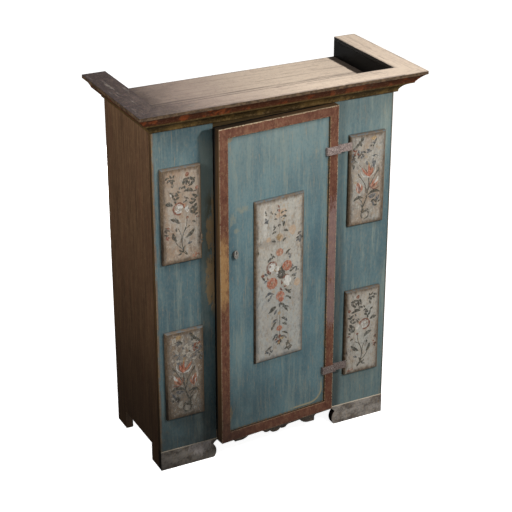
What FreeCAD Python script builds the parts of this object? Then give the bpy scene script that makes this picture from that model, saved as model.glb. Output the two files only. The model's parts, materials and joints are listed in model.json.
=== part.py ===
import FreeCAD, Part
import math
import os

# One-door painted cupboard with a loose three-sided crown. Millimetres, +Z up.
# Origin: on the floor, at the middle of the outline seen from above (the crown's outline).
# +X runs to the right along the front, +Y runs from the front to the back.

# ---- driving dimensions: carcass -------------------------------------------------
total_height = 1800.0
carcass_width = 1200.0
carcass_depth = 530.0
side_thickness = 35.0
front_thickness = 30.0
top_thickness = 18.0
bottom_thickness = 25.0
back_thickness = 18.0
back_rebate = 12.0
bottom_surface = 146.0
edge_ease = 1.2
top_board_count = 2
bottom_board_count = 3
back_board_count = 5
back_bottom_gap = 80.0

# ---- feet and scalloped plinth ----------------------------------------------------
plinth_height = 101.0
plinth_proud = 2.0
plinth_ease = 3.0
side_foot_front = 109.0
side_foot_rear = 105.0
side_notch_height = 95.0
foot_inner_x = 327.0
foot_cusp_out = 4.0
foot_cusp_height = 72.0
foot_bulge = -14.0
foot_hollow_width = 19.0
foot_hollow_bow = 1.8
arch_height = 90.0

# The apron's lower edge from the middle outwards: widths, heights above the floor and,
# for each curved stretch, how far it bows up (or down, below zero) from its chord.
centre_lobe_width = 28.0
centre_lobe_height = 48.0
centre_lobe_bow = -4.4
centre_cusp_height = 61.0
small_lobe_width = 30.0
small_lobe_bow = -3.5
small_cusp_height = 60.0
rise_width = 21.0
rise_bow = 3.0
valley_height = 72.0
valley_width = 56.0
end_cusp_height = 77.0
end_lobe_width = 55.0
end_lobe_height = 52.0
end_lobe_bow = -7.8
end_flat_width = 26.0
end_step_height = 74.0
shoulder_width = 15.0
shoulder_height = 85.0
shoulder_bow = 2.7

# ---- door opening and rails -------------------------------------------------------
door_lap = 21.0
door_lap_top = 31.0
tenon_length = 40.0
tenon_thickness = 10.0
tenon_inset = 6.0

# ---- crown ------------------------------------------------------------------------
crown_height = 117.0
crown_stand = 98.0
crown_side_overhang = 100.0
crown_front_overhang = 125.0
crown_seat = 12.0
crown_clearance = 0.4
cap_thickness = 17.0
cap_width = 112.0
block_leg = 62.0
block_height = 52.0

# ---- door -------------------------------------------------------------------------
door_width = 619.5
door_bottom = 126.0
door_top_gap = 2.0
door_shift = -23.3
door_gap = 2.0
door_board_thickness = 37.0
door_board_count = 3
border_thickness = 11.0
border_side = 45.0
border_top = 46.0
border_bottom = 51.0
border_ease = 2.0
ajar_angle = 4.7
ledge_thickness = 20.0
ledge_height = 110.0
ledge_clearance = 14.0
ledge_inset = 190.0
ledge_count = 3

# ---- painted panels planted on the front --------------------------------------------
side_panel_width = 189.0
side_panel_height = 449.0
side_panel_thickness = 18.0
side_panel_left_x = -473.7
side_panel_right_x = 462.5
side_panel_above_plinth = 170.0
side_panel_below_top = 175.5
door_panel_width = 261.0
door_panel_margin = 373.2
door_panel_thickness = 12.0
panel_chamfer = 5.0

# ---- hinges -----------------------------------------------------------------------
hinge_above_door_foot = 224.0
hinge_below_door_top = 210.0
strap_thickness = 5.0
strap_height = 37.0
strap_tail = 17.0
hinge_offset = 8.0
knuckle_radius = 7.5
hinge_pin_radius = 4.0
hinge_pin_clearance = 0.05
hinge_pin_head = 3.0
knuckle_share = 0.4
knuckle_gap = 0.5
knuckle_room = 2.0
bar_reach = 66.0
spike_width = 10.0
spike_height = 12.0
spike_bite = 24.0
nail_radius = 2.5
nail_head_radius = 6.0
nail_head_height = 2.2
nail_bite = 20.0

# ---- turn latch -------------------------------------------------------------------
latch_x = -253.0
latch_z = 1082.0
spindle_radius = 5.0
spindle_clearance = 0.06
knob_width = 23.0
knob_height = 42.0
knob_thickness = 9.0
knob_stand_off = 9.0
knob_ease = 2.5
knob_slot_width = 4.0
knob_slot_height = 16.0
rose_radius = 10.0
rose_thickness = 2.0
tongue_length = 90.0
tongue_width = 20.0
tongue_thickness = 5.0
tongue_clearance = 2.0
collar_radius = 9.0
collar_thickness = 3.0

# ---- inside -----------------------------------------------------------------------
shelf_surface = 1420.0
shelf_thickness = 20.0
shelf_setback = 60.0
cleat_height = 25.0
cleat_thickness = 22.0
peg_rail_height = 75.0
peg_rail_thickness = 22.0
peg_rail_drop = 60.0
peg_count = 5
peg_radius = 9.0
peg_length = 95.0
peg_knob_radius = 14.0
peg_lift = 12.0
glue_block = 40.0
fit_gap = 0.3

# ---- derived places ---------------------------------------------------------------
overall_depth = carcass_depth + crown_front_overhang
back_y = overall_depth / 2
front_y = back_y - carcass_depth
half_width = carcass_width / 2
inner_half = half_width - side_thickness
frame_back_y = front_y + front_thickness
back_face_y = back_y - back_thickness
top_surface = total_height - crown_stand
carcass_top = top_surface - top_thickness
crown_bottom = total_height - crown_height
front_stretch = crown_front_overhang / crown_side_overhang

door_left = door_shift - door_width / 2
door_right = door_shift + door_width / 2
door_top = crown_bottom - door_top_gap
door_thickness = door_board_thickness + border_thickness
door_front_y = front_y - door_gap - door_thickness
field_y = door_front_y + border_thickness
door_back_y = door_front_y + door_thickness
opening_left = door_left + door_lap
opening_right = door_right - door_lap
opening_bottom = door_bottom + door_lap
opening_top = door_top - door_lap_top
hinge_heights = (door_bottom + hinge_above_door_foot, door_top - hinge_below_door_top)
hinge_x = door_right + hinge_offset
hinge_y = door_front_y - strap_thickness + knuckle_radius

V = FreeCAD.Vector
UP = V(0, 0, 1)
INWARD = V(0, 1, 0)


# ---- general shapes ---------------------------------------------------------------
def box(x0, x1, y0, y1, z0, z1):
    return Part.makeBox(x1 - x0, y1 - y0, z1 - z0, V(x0, y0, z0))


def eased(shape, size):
    """The same solid with every arris broken, as on a hand-planed board."""
    return shape.makeChamfer(size, shape.Edges)


def eased_mitred(shape, size):
    """A board that lies flat, with its long arrises and square ends broken but its mitres
    left sharp, so that they close tight."""
    edges = [
        edge
        for edge in shape.Edges
        if edge.BoundBox.ZLength < 0.1 and min(edge.BoundBox.XLength, edge.BoundBox.YLength) < 0.1
    ]
    return shape.makeChamfer(size, edges)


def board(x0, x1, y0, y1, z0, z1, size=edge_ease):
    return eased(box(x0, x1, y0, y1, z0, z1), size)


def rod(radius, start, direction, length):
    return Part.makeCylinder(radius, length, start, direction)


def plan_prism(points, z0, z1):
    """A solid standing on an outline given in plan as (x, y)."""
    wire = Part.makePolygon([V(x, y, z0) for x, y in points + points[:1]])
    return Part.Face(wire).extrude(V(0, 0, z1 - z0))


def front_prism(points, y0, y1):
    """A solid running front to back with an outline given as (x, z)."""
    wire = Part.makePolygon([V(x, y0, z) for x, z in points + points[:1]])
    return Part.Face(wire).extrude(V(0, y1 - y0, 0))


def strips(low, high, count):
    """Equal shares of a width, as (low, high) pairs."""
    share = (high - low) / count
    return [(low + i * share, low + (i + 1) * share) for i in range(count)]


def mirrored(shape):
    return shape.mirror(V(0, 0, 0), V(1, 0, 0))


def save(name, *solids):
    shape = solids[0] if len(solids) == 1 else Part.makeCompound(list(solids))
    shape.exportStep("parts/" + name + ".step")


# ---- carcass ----------------------------------------------------------------------
def side_board():
    """The right side: a plain board cut away below into two feet, rebated for the back."""
    shape = board(inner_half, half_width, frame_back_y, back_y, 0, carcass_top)
    notch = box(
        inner_half - 1,
        half_width + 1,
        front_y + side_foot_front,
        back_y - side_foot_rear,
        -1,
        side_notch_height,
    )
    rebate = box(
        inner_half - 1,
        inner_half + back_rebate,
        back_face_y,
        back_y + 1,
        back_bottom_gap,
        carcass_top + 1,
    )
    return shape.cut(notch).cut(rebate)


def rail(z0, z1):
    """A rail of the door frame with a tenon at each end."""
    body = board(opening_left, opening_right, front_y, frame_back_y, z0, z1)
    tongue_y = (front_y + frame_back_y - tenon_thickness) / 2
    tongue = box(
        opening_left - tenon_length,
        opening_right + tenon_length,
        tongue_y,
        tongue_y + tenon_thickness,
        z0 + tenon_inset,
        z1 - tenon_inset,
    )
    return body.fuse(tongue)


def stile(x0, x1, rails):
    """A wide front board, mortised for the rails."""
    shape = board(x0, x1, front_y, frame_back_y, plinth_height, carcass_top)
    for one in rails:
        shape = shape.cut(one)
    return shape


def run(p, q, bow=0.0):
    """Edge between two points given as (x, z) on the plinth's front: straight, or an arc
    that bows to the left of its direction by that much."""
    y = front_y - plinth_proud
    start = V(p[0], y, p[1])
    end = V(q[0], y, q[1])
    if not bow:
        return Part.makeLine(start, end)
    along = end - start
    middle = (start + end) / 2 + V(-along.z, 0, along.x) * (bow / along.Length)
    return Part.Arc(start, middle, end).toShape()


def apron_edges():
    """The right half of the apron's lower edge, from the middle to the foot's arch."""
    x1 = centre_lobe_width
    x2 = x1 + small_lobe_width
    x3 = x2 + rise_width
    x4 = x3 + valley_width
    x5 = x4 + end_lobe_width
    x6 = x5 + end_flat_width
    x7 = x6 + shoulder_width
    cusp = (x4, end_cusp_height)
    return [
        run((0, centre_lobe_height), (x1, centre_cusp_height), centre_lobe_bow),
        run((x1, centre_cusp_height), (x2, small_cusp_height), small_lobe_bow),
        run((x2, small_cusp_height), (x3, valley_height), rise_bow),
        run((x3, valley_height), cusp),
        run(cusp, (x5, end_lobe_height), end_lobe_bow),
        run((x5, end_lobe_height), (x6, end_lobe_height)),
        run((x6, end_lobe_height), (x6, end_step_height)),
        run((x6, end_step_height), (x7, shoulder_height), shoulder_bow),
        run((x7, shoulder_height), arch_end()),
    ]


def arch_end():
    return (foot_inner_x + foot_cusp_out - foot_hollow_width, arch_height)


def foot_edges():
    """The right foot's scrolled inner edge, its sole and its outer edge."""
    cusp = (foot_inner_x + foot_cusp_out, foot_cusp_height)
    heel = (foot_inner_x, 0)
    corner = (half_width, 0)
    return [
        run(arch_end(), cusp, foot_hollow_bow),
        run(cusp, heel, foot_bulge),
        run(heel, corner),
        run(corner, (half_width, plinth_height)),
    ]


def plinth():
    """Board across the foot of the front: two feet with scrolled inner edges and a
    scalloped apron between them, the same to the left and right of the middle."""
    top = [
        run((half_width, plinth_height), (0, plinth_height)),
        run((0, plinth_height), (0, centre_lobe_height)),
    ]
    outline = Part.Face(Part.Wire(apron_edges() + foot_edges() + top))
    half = outline.extrude(V(0, front_thickness + plinth_proud, 0))
    whole = half.fuse(mirrored(half)).removeSplitter()
    ledge = [
        edge
        for edge in whole.Edges
        if edge.BoundBox.ZMin > plinth_height - 0.1
        and edge.BoundBox.YMax < front_y - plinth_proud + 0.1
    ]
    return whole.makeChamfer(plinth_ease, ledge)


def top_boards():
    return [
        box(-half_width, half_width, y0, y1, carcass_top, top_surface)
        for y0, y1 in strips(front_y, back_y, top_board_count)
    ]


def bottom_boards():
    z1 = bottom_surface
    return [
        board(-inner_half, inner_half, y0, y1, z1 - bottom_thickness, z1)
        for y0, y1 in strips(frame_back_y, back_face_y, bottom_board_count)
    ]


def back_boards():
    reach = inner_half + back_rebate
    return [
        board(x0, x1, back_face_y, back_y, back_bottom_gap, carcass_top)
        for x0, x1 in strips(-reach, reach, back_board_count)
    ]


def cleat(top_z, y0):
    """Bearer on the inside of the right side board, under a shelf or the bottom."""
    return board(
        inner_half - cleat_thickness, inner_half, y0, back_face_y, top_z - cleat_height, top_z
    )


def hat_shelf():
    y0 = frame_back_y + shelf_setback
    z0 = shelf_surface - shelf_thickness
    return board(-inner_half + fit_gap, inner_half - fit_gap, y0, back_face_y, z0, shelf_surface)


def peg_axes():
    """Start points of the coat pegs on the face of the peg rail."""
    z = shelf_surface - shelf_thickness - peg_rail_drop - peg_rail_height / 2
    y = back_face_y - peg_rail_thickness
    pitch = 2 * inner_half / peg_count
    return [V(-inner_half + (i + 0.5) * pitch, y, z) for i in range(peg_count)]


def peg_direction():
    return V(0, -peg_length, peg_lift)


def coat_peg(start):
    """A turned peg with a round knob, let through the rail."""
    toward = peg_direction()
    root = peg_rail_thickness
    back = V(start.x, start.y + root, start.z - peg_lift * root / peg_length)
    shank = rod(peg_radius, back, toward, toward.Length + root)
    knob = Part.makeSphere(peg_knob_radius, start + toward)
    slab = box(-half_width, half_width, start.y + root, back_y, 0, total_height)
    return shank.fuse(knob).cut(slab)


def peg_rail(pegs):
    z1 = shelf_surface - shelf_thickness - peg_rail_drop
    y1 = back_face_y
    shape = board(
        -inner_half, inner_half, y1 - peg_rail_thickness, y1, z1 - peg_rail_height, z1
    )
    for peg in pegs:
        shape = shape.cut(peg)
    return shape


def corner_block():
    """Glue block behind the right foot, in the corner of front and side."""
    x1 = inner_half
    y0 = frame_back_y
    top = bottom_surface - bottom_thickness
    leg = glue_block
    return plan_prism([(x1, y0), (x1 - leg, y0), (x1, y0 + leg)], plinth_height - leg, top)


def planted_panel(x, z, width, height, back, thickness):
    """A flat panel with bevelled front arrises, planted on the front."""
    x0, x1 = x - width / 2, x + width / 2
    z0, z1 = z - height / 2, z + height / 2
    shape = box(x0, x1, back - thickness, back, z0, z1)
    rim = [edge for edge in shape.Edges if edge.BoundBox.YMax < back - thickness + 0.1]
    return shape.makeChamfer(panel_chamfer, rim)


# ---- crown ------------------------------------------------------------------------
def crown_outline(stretch):
    """Edges of the cornice section under the cap, as (overhang, z) with the overhang
    stretched. From the top: a hollow, a step, a second hollow and the bottom bead."""
    seat = -crown_seat

    def p(over, drop):
        return V(over * stretch, 0, total_height - drop)

    cap = cap_thickness
    foot = crown_height
    outer = crown_side_overhang - 3
    return [
        Part.makeLine(p(seat, cap), p(outer, cap)),
        Part.Arc(p(outer, cap), p(77, cap + 20), p(62, cap + 42)).toShape(),
        Part.makeLine(p(62, cap + 42), p(60, cap + 48)),
        Part.makeLine(p(60, cap + 48), p(44, cap + 50)),
        Part.makeLine(p(44, cap + 50), p(43, cap + 57)),
        Part.Arc(p(43, cap + 57), p(24, cap + 72), p(14, foot - 12)).toShape(),
        Part.makeLine(p(14, foot - 12), p(13, foot - 4)),
        Part.Arc(p(13, foot - 4), p(12, foot - 1), p(9, foot)).toShape(),
        Part.makeLine(p(9, foot), p(crown_clearance, foot)),
        Part.makeLine(p(crown_clearance, foot), p(crown_clearance, crown_stand)),
        Part.makeLine(p(crown_clearance, crown_stand), p(seat, crown_stand)),
        Part.makeLine(p(seat, crown_stand), p(seat, cap)),
    ]


def mitre_wedge():
    """Everything in front of the two mitre planes, which run in plan from each front
    corner of the carcass to the same corner of the crown."""
    ahead = 1.5
    behind = 0.4
    x1 = half_width + ahead * crown_side_overhang
    y1 = front_y - ahead * crown_front_overhang
    x0 = half_width - behind * crown_side_overhang
    y0 = front_y + behind * crown_front_overhang
    return plan_prism([(-x1, y1), (x1, y1), (x0, y0), (-x0, y0)], 0, 2 * total_height)


def cornice_front(wedge):
    face = Part.Face(Part.Wire(crown_outline(front_stretch)))
    face.rotate(V(0, 0, 0), UP, -90)
    face.translate(V(-carcass_width, front_y, 0))
    return face.extrude(V(2 * carcass_width, 0, 0)).common(wedge)


def cornice_side(wedge):
    face = Part.Face(Part.Wire(crown_outline(1.0)))
    face.translate(V(half_width, back_y, 0))
    return face.extrude(V(0, -overall_depth, 0)).cut(wedge)


def cap_front():
    outer_x = half_width + crown_side_overhang
    inner_x = outer_x - cap_width
    outer_y = front_y - crown_front_overhang
    inner_y = outer_y + cap_width
    plan = [(-outer_x, outer_y), (outer_x, outer_y), (inner_x, inner_y), (-inner_x, inner_y)]
    return eased_mitred(plan_prism(plan, total_height - cap_thickness, total_height), edge_ease)


def cap_side():
    outer_x = half_width + crown_side_overhang
    inner_x = outer_x - cap_width
    outer_y = front_y - crown_front_overhang
    inner_y = outer_y + cap_width
    plan = [(outer_x, outer_y), (outer_x, back_y), (inner_x, back_y), (inner_x, inner_y)]
    return eased_mitred(plan_prism(plan, total_height - cap_thickness, total_height), edge_ease)


def crown_block():
    """Triangular glue block in the right front corner of the crown, on the top board."""
    x1 = half_width - crown_seat
    y0 = front_y + crown_seat * front_stretch
    z0 = top_surface + fit_gap
    return plan_prism([(x1, y0), (x1 - block_leg, y0), (x1, y0 + block_leg)], z0, z0 + block_height)


# ---- door, drawn closed and swung ajar when saved ----------------------------------
def ajar(shape):
    shape.rotate(V(hinge_x, hinge_y, 0), UP, ajar_angle)
    return shape


def save_ajar(name, *solids):
    save(name, *[ajar(solid) for solid in solids])


def door_boards():
    return [
        box(x0, x1, field_y, door_back_y, door_bottom, door_top)
        for x0, x1 in strips(door_left, door_right, door_board_count)
    ]


def borders():
    """The four mitred strips planted round the door, as a dictionary of solids."""
    x0, x3 = door_left, door_right
    x1, x2 = x0 + border_side, x3 - border_side
    z0, z3 = door_bottom, door_top
    z1, z2 = z0 + border_bottom, z3 - border_top
    outlines = {
        "left": [(x0, z0), (x1, z1), (x1, z2), (x0, z3)],
        "right": [(x3, z0), (x2, z1), (x2, z2), (x3, z3)],
        "top": [(x0, z3), (x1, z2), (x2, z2), (x3, z3)],
        "bottom": [(x0, z0), (x1, z1), (x2, z1), (x3, z0)],
    }
    solids = {}
    for name, outline in outlines.items():
        strip = front_prism(outline, door_front_y, field_y)
        front = [edge for edge in strip.Edges if edge.BoundBox.YMax < door_front_y + 0.1]
        long_pair = sorted(front, key=lambda edge: edge.Length)[-2:]
        solids[name] = strip.makeChamfer(border_ease, long_pair)
    return solids


def ledges():
    """Cross battens that hold the door boards together, clear of the frame."""
    x0 = opening_left + ledge_clearance
    x1 = opening_right - ledge_clearance
    y1 = door_back_y + ledge_thickness
    lowest = door_bottom + ledge_inset
    pitch = (door_top - ledge_inset - ledge_height - lowest) / (ledge_count - 1)
    heights = [lowest + i * pitch for i in range(ledge_count)]
    return [
        board(x0, x1, door_back_y, y1, z, z + ledge_height, 2 * edge_ease) for z in heights
    ]


# ---- hinges -----------------------------------------------------------------------
def knuckle(z0, z1):
    outer = rod(knuckle_radius, V(hinge_x, hinge_y, z0), UP, z1 - z0)
    bore = rod(hinge_pin_radius + hinge_pin_clearance, V(hinge_x, hinge_y, z0 - 1), UP, z1 - z0 + 2)
    return outer, bore


def strap(z):
    """Door half of a hinge: a flat strap over the border whose tail is bent back to the
    field, with the middle knuckle rolled at its other end."""
    low = z - strap_height / 2
    high = z + strap_height / 2
    border_edge = door_right - border_side
    tail_x = border_edge - strap_tail
    plate = box(tail_x, hinge_x, door_front_y - strap_thickness, door_front_y, low, high)
    tail = box(tail_x, tail_x + strap_thickness, door_front_y, field_y, low, high)
    share = strap_height * knuckle_share / 2
    outer, bore = knuckle(z - share, z + share)
    shape = plate.fuse(tail)
    past_edge = door_right + (hinge_offset - knuckle_radius) / 2
    y0 = door_front_y - strap_height
    y1 = door_front_y + strap_height
    for z0, z1 in ((low - 1, z - share), (z + share, high + 1)):
        shape = shape.cut(box(past_edge, hinge_x + 1, y0, y1, z0, z1))
    return shape.fuse(outer).cut(bore).removeSplitter()


def bar(z):
    """Frame half of a hinge: two knuckles and a flat bar held off the stile by a square
    spike, drawn from its far end, bent back and driven into the stile."""
    low = z - strap_height / 2
    high = z + strap_height / 2
    rear = hinge_y + knuckle_radius
    far = hinge_x + bar_reach
    plate = box(hinge_x, far, rear - strap_thickness, rear, low, high)
    share = strap_height * knuckle_share / 2 + knuckle_gap
    room = rod(knuckle_radius + knuckle_room, V(hinge_x, hinge_y, z - share), UP, 2 * share)
    shape = plate.cut(room)
    for z0, z1 in ((low, z - share), (z + share, high)):
        outer, bore = knuckle(z0, z1)
        shape = shape.fuse(outer).cut(bore)
    return shape.fuse(spike(z)).removeSplitter()


def spike(z):
    far = hinge_x + bar_reach
    low = z - strap_height / 2
    rear = hinge_y + knuckle_radius
    return box(far - spike_width, far, rear, front_y + spike_bite, low, low + spike_height)


def hinge_pin(z):
    """Loose pin with a flat head above and below the knuckles."""
    low = z - strap_height / 2
    shaft = rod(hinge_pin_radius, V(hinge_x, hinge_y, low), UP, strap_height)
    head = knuckle_radius - 1
    for foot in (low - hinge_pin_head, low + strap_height):
        shaft = shaft.fuse(rod(head, V(hinge_x, hinge_y, foot), UP, hinge_pin_head))
    return shaft


def nail(x, y, z, bite):
    """Hand-made nail driven inward at (x, z), its domed head standing on the plane y."""
    shank = rod(nail_radius, V(x, y, z), INWARD, bite)
    ball = (nail_head_radius ** 2 + nail_head_height ** 2) / (2 * nail_head_height)
    dome = Part.makeSphere(ball, V(x, y - nail_head_height + ball, z))
    keep = rod(nail_head_radius, V(x, y, z), V(0, -1, 0), nail_head_height + 1)
    return shank.fuse(dome.common(keep))


def strap_nails():
    """Two nails through each strap and the right border into the board behind."""
    y = door_front_y - strap_thickness
    middle = door_right - border_side / 2
    return [
        nail(middle + side * border_side / 4, y, z, strap_thickness + nail_bite)
        for z in hinge_heights
        for side in (-1, 1)
    ]


# ---- turn latch -------------------------------------------------------------------
def latch_rose():
    disc = rod(rose_radius, V(latch_x, field_y - rose_thickness, latch_z), INWARD, rose_thickness)
    return disc.cut(spindle_hole())


def spindle_hole():
    start = V(latch_x, door_front_y - door_thickness, latch_z)
    return rod(spindle_radius + spindle_clearance, start, INWARD, 3 * door_thickness)


def knob():
    """Oval turn button, slotted through, on the outer end of the spindle."""
    y0 = field_y - knob_stand_off - knob_thickness
    oval = Part.Ellipse(V(0, 0, 0), knob_height / 2, knob_width / 2).toShape()
    face = Part.Face(Part.Wire(oval))
    face.rotate(V(0, 0, 0), V(0, 1, 0), 90)
    face.rotate(V(0, 0, 0), UP, 90)
    face.translate(V(latch_x, y0, latch_z))
    body = face.extrude(V(0, knob_thickness, 0))
    rim = [edge for edge in body.Edges if edge.BoundBox.YMax < y0 + knob_thickness / 2]
    body = body.makeChamfer(knob_ease, rim)
    slot = box(
        latch_x - knob_slot_width / 2,
        latch_x + knob_slot_width / 2,
        y0 - 1,
        y0 + knob_thickness + 1,
        latch_z + spindle_radius / 2,
        latch_z + spindle_radius / 2 + knob_slot_height,
    )
    return body.cut(slot)


def spindle():
    """Iron rod through the door, with a collar against the inside of the boards."""
    y0 = field_y - knob_stand_off
    y1 = frame_back_y + tongue_clearance
    shaft = rod(spindle_radius, V(latch_x, y0, latch_z), INWARD, y1 - y0)
    start = V(latch_x, door_back_y + fit_gap, latch_z)
    return shaft.fuse(rod(collar_radius, start, INWARD, collar_thickness))


def tongue():
    """Iron tongue on the inner end of the spindle. It hangs down when the door is free
    and lies behind the left stile when it is turned a quarter."""
    y0 = frame_back_y + tongue_clearance
    half = tongue_width / 2
    plate = box(
        latch_x - half, latch_x + half, y0, y0 + tongue_thickness, latch_z - tongue_length, latch_z
    )
    boss = rod(half, V(latch_x, y0, latch_z), INWARD, tongue_thickness)
    corners = [
        edge
        for edge in plate.Edges
        if edge.BoundBox.ZMax < latch_z - tongue_length + 0.1 and edge.BoundBox.XLength < 0.1
    ]
    return plate.makeFillet(half * 0.6, corners).fuse(boss).removeSplitter()


# ---- everything, saved one file to a piece -------------------------------------------
def save_carcass():
    rails = {
        "top_rail": rail(opening_top, carcass_top),
        "bottom_rail": rail(plinth_height, opening_bottom),
    }
    for name, shape in rails.items():
        save(name, shape)
    mortisers = list(rails.values())
    save("stile_left", stile(-half_width, opening_left, mortisers))
    right = stile(opening_right, half_width, mortisers)
    for z in hinge_heights:
        right = right.cut(spike(z))
    save("stile_right", right)
    save("side_right", side_board())
    save("side_left", mirrored(side_board()))
    save("plinth_board", plinth())
    for i, shape in enumerate(top_boards(), 1):
        save("top_board_%d" % i, shape)
    for i, shape in enumerate(bottom_boards(), 1):
        save("bottom_board_%d" % i, shape)
    for i, shape in enumerate(back_boards(), 1):
        save("back_board_%d" % i, shape)
    low = cleat(bottom_surface - bottom_thickness, frame_back_y + glue_block + fit_gap)
    save("bottom_cleats", low, mirrored(low))
    high = cleat(shelf_surface - shelf_thickness, frame_back_y + shelf_setback)
    save("shelf_cleats", high, mirrored(high))
    save("hat_shelf", hat_shelf())
    pegs = [coat_peg(start) for start in peg_axes()]
    save("coat_pegs", *pegs)
    save("peg_rail", peg_rail(pegs))
    save("corner_blocks", corner_block(), mirrored(corner_block()))


def save_side_panels():
    columns = {"left": side_panel_left_x, "right": side_panel_right_x}
    rows = {
        "lower": plinth_height + side_panel_above_plinth + side_panel_height / 2,
        "upper": carcass_top - side_panel_below_top - side_panel_height / 2,
    }
    size = (side_panel_width, side_panel_height, front_y, side_panel_thickness)
    for row, z in rows.items():
        for column, x in columns.items():
            save("panel_%s_%s" % (row, column), planted_panel(x, z, *size))


def save_crown():
    wedge = mitre_wedge()
    side = cornice_side(wedge)
    save("crown_moulding_front", cornice_front(wedge))
    save("crown_moulding_right", side)
    save("crown_moulding_left", mirrored(side))
    save("crown_cap_front", cap_front())
    save("crown_cap_right", cap_side())
    save("crown_cap_left", mirrored(cap_side()))
    save("crown_blocks", crown_block(), mirrored(crown_block()))


def save_door():
    nails = strap_nails()
    boards = [shape.cut(spindle_hole()) for shape in door_boards()]
    strips_by_side = borders()
    for shape in nails:
        strips_by_side["right"] = strips_by_side["right"].cut(shape)
        boards[-1] = boards[-1].cut(shape)
    for i, shape in enumerate(boards, 1):
        save_ajar("door_board_%d" % i, shape)
    for name, shape in strips_by_side.items():
        save_ajar("border_" + name, shape)
    panel_z = (door_bottom + door_top) / 2
    panel_height = door_top - door_bottom - 2 * door_panel_margin
    panel = planted_panel(
        door_shift, panel_z, door_panel_width, panel_height, field_y, door_panel_thickness
    )
    save_ajar("door_panel", panel)
    for name, shape in zip(("bottom", "middle", "top"), ledges()):
        save_ajar("door_ledge_" + name, shape)
    for name, z in zip(("lower", "upper"), hinge_heights):
        iron = strap(z)
        for shape in nails:
            iron = iron.cut(shape)
        save_ajar("hinge_strap_" + name, iron)
    save_ajar("strap_nails", *nails)
    save_ajar("latch_rose", latch_rose())


def save_hinges_and_latch():
    for name, z in zip(("lower", "upper"), hinge_heights):
        save("hinge_bar_" + name, bar(z))
        save("hinge_pin_" + name, hinge_pin(z))
    save_ajar("latch_knob", knob())
    save_ajar("latch_spindle", spindle())
    save_ajar("latch_tongue", tongue())


os.makedirs("parts", exist_ok=True)
save_carcass()
save_side_panels()
save_crown()
save_door()
save_hinges_and_latch()
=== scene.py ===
import json
import math
import random

import bpy
from mathutils import Matrix, Vector


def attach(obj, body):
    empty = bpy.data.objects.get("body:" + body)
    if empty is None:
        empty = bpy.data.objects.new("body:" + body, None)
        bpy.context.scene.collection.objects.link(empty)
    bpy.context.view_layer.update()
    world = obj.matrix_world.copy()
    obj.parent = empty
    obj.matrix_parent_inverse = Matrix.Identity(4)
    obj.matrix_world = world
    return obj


# Looks of the painted cupboard. Metres, +Z up, the door stored a few degrees open.

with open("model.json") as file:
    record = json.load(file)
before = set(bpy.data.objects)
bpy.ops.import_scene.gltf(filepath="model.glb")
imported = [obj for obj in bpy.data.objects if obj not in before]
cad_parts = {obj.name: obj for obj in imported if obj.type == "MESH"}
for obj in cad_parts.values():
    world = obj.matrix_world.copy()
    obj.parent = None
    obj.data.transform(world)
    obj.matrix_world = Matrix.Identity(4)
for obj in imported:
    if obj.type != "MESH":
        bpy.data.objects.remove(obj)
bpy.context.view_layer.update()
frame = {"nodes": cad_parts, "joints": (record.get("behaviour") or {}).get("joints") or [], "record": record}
nodes = frame["nodes"]
joints = {joint["name"]: joint for joint in frame["joints"]}
bodies = frame["record"]["behaviour"]["bodies"]
door_nodes = bodies["door"] + bodies["latch"]

MM = 0.001
HINGE = Vector(joints["door_hinge"]["pos_m"])
AJAR = -math.radians(joints["door_hinge"]["range_deg"][0])
SWING = Matrix.Translation(HINGE) @ Matrix.Rotation(AJAR, 4, "Z") @ Matrix.Translation(-HINGE)
UNSWING = SWING.inverted()

# ---- camera ----
# Fitted to the photograph.
CAMERA_PLACE = (-2.848, -5.576, 3.815)
CAMERA_YAW = math.radians(27.061)
CAMERA_PITCH = math.radians(24.967)
CAMERA_LENS = 103.15
SENSOR = 36.0

# ---- light ----
SKY_SOURCE = (0.35, -0.8, 0.4)
SKY_EDGE = -0.3
SKY_DIM = 0.02
SKY_BRIGHT = 0.52
SKY_COLOUR = (1.0, 0.99, 0.97, 1.0)
WHITE = (1.0, 1.0, 1.0, 1.0)
FLOOR_GLOW = 0.9
FLOOR_HALF = 40.0
# Name, place, target, side and watts of each square light.
LIGHTS = (
    ("key", (1.0, -2.7, 3.0), (0.1, -0.2, 1.2), 0.35, 51),
    ("upper", (0.3, -1.15, 3.2), (0.1, -0.25, 1.7), 0.6, 16),
    ("crown", (1.15, 0.15, 3.3), (0.5, 0.1, 1.8), 0.25, 13),
    ("fill", (-2.3, -0.6, 2.7), (-0.6, 0.1, 1.5), 1.0, 37),
    ("rear", (0.7, 4.0, 0.8), (0.0, 0.3, 0.9), 1.3, 70),
)


def srgb(red, green, blue):
    """A display colour, 0 to 255, as scene-linear RGBA."""

    def linear(value):
        value /= 255
        return value / 12.92 if value <= 0.04045 else ((value + 0.055) / 1.055) ** 2.4

    return (linear(red), linear(green), linear(blue), 1.0)


# ---- colours ----
BLUE = srgb(98, 126, 132)
BLUE_DEEP = srgb(80, 106, 114)
BLUE_GREY = srgb(138, 150, 142)
BARE_WOOD = srgb(146, 120, 82)
PALE_WEAR = srgb(158, 148, 120)
OLIVE_WEAR = srgb(96, 88, 66)
RIM_DARK = srgb(62, 68, 64)
DOOR_SIDE = srgb(98, 72, 44)
DOOR_TOP = srgb(106, 82, 58)
TAN = srgb(158, 122, 80)
MAUVE = srgb(136, 112, 108)
DARK_WOOD = srgb(58, 43, 30)
# Soot, dark specks and joints, and also painted shade in corners, recesses and shaded places.
SOOT_AND_SHADE = srgb(26, 20, 15)
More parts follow.
